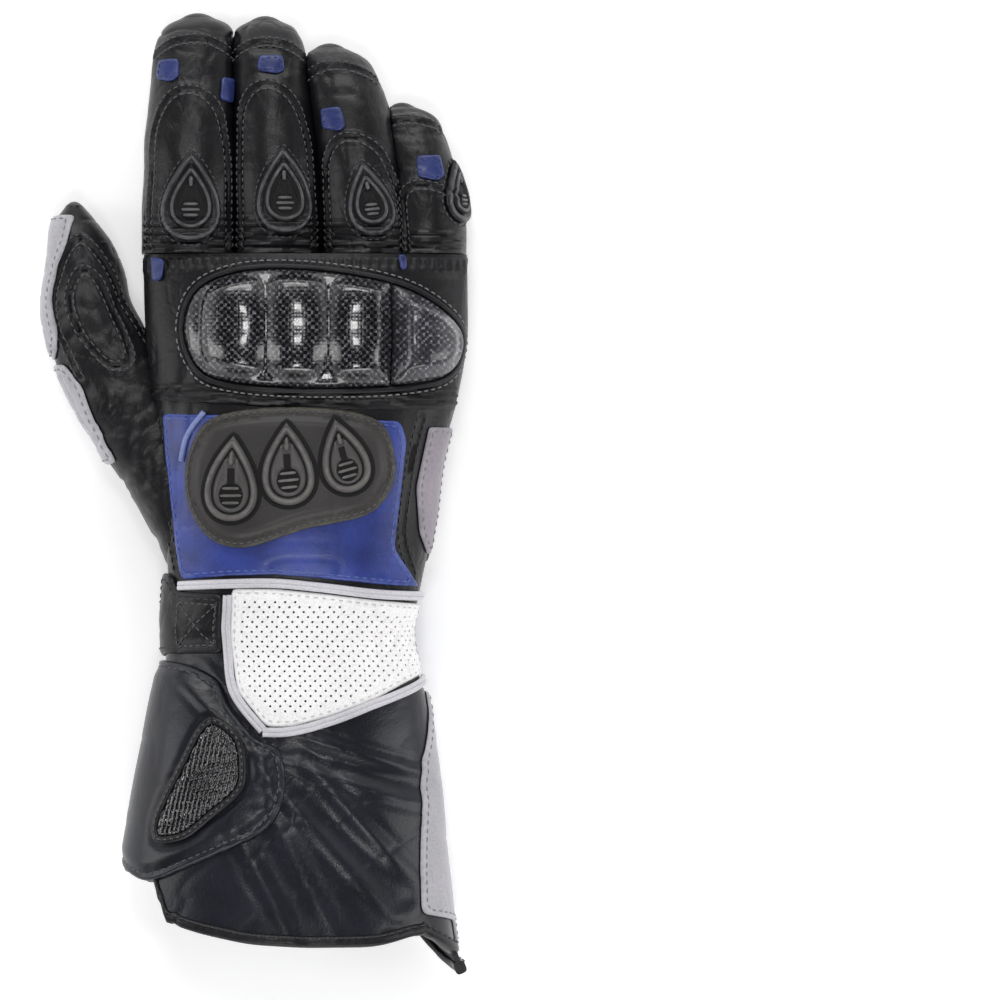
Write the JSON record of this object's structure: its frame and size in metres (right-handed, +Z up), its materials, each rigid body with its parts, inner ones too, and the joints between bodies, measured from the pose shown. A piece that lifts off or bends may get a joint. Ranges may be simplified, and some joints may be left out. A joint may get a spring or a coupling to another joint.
{
  "type": "motorcycle glove",
  "caption": "Long gauntlet leather motorcycle glove with domed knuckle guard, vented back pad, wrist strap and closing cuff flap.",
  "frame": {"origin": "middle of the outline, on the surface that the glove lies on", "axes": "+Y to the fingertips, +X to the little finger, +Z up from the back of the hand"},
  "size_m": [0.1486, 0.3312, 0.0571],
  "materials": {
    "black_leather": "smooth drum-dyed leather, semi-gloss, fine grain",
    "blue_leather": "smooth leather, semi-gloss",
    "carbon": "lacquered woven carbon shell, high gloss",
    "carbon_mesh": "coarse coated weave, semi-gloss",
    "piping": "metallic piping cord, satin",
    "pod_leather": "grained grey-brown leather, matt",
    "silver_leather": "metallic grey leather, satin",
    "slider_plastic": "moulded, satin",
    "vent_plastic": "moulded rubbery vents, satin",
    "white_leather": "perforated leather, semi-gloss"
  },
  "bodies": {
    "root": {"hand_back": "black_leather", "hand_palm": "black_leather", "cuff_back": "black_leather", "cuff_palm": "black_leather", "finger_index": "black_leather", "finger_middle": "black_leather", "finger_ring": "black_leather", "finger_little": "black_leather", "thumb": "black_leather", "knuckle_band": "black_leather", "knuckle_guard": "carbon", "knuckle_guard_end": "carbon", "blue_panel": "blue_leather", "pod_pad": "pod_leather", "vent_1": "vent_plastic", "vent_2": "vent_plastic", "vent_3": "vent_plastic", "grey_side_panel": "silver_leather", "white_wrist_panel": "white_leather", "piping_blue_white": "piping", "piping_side": "piping", "piping_bottom": "piping", "wrist_strap": "black_leather", "cuff_flap": "black_leather", "insert_rim": "black_leather", "insert_mesh": "carbon_mesh", "cuff_side_panel": "silver_leather", "hem_back": "black_leather", "hem_palm": "black_leather", "palm_patch": "black_leather", "heel_patch": "black_leather", "side_slider": "slider_plastic", "thumb_grey_tip": "silver_leather", "thumb_grey_ball": "silver_leather", "pod_little": "black_leather", "pod_index": "black_leather", "pod_middle": "black_leather", "pod_ring": "black_leather", "accent_index": "blue_leather", "accent_middle": "blue_leather", "accent_ring": "blue_leather", "accent_little": "blue_leather"}
  },
  "joints": []
}
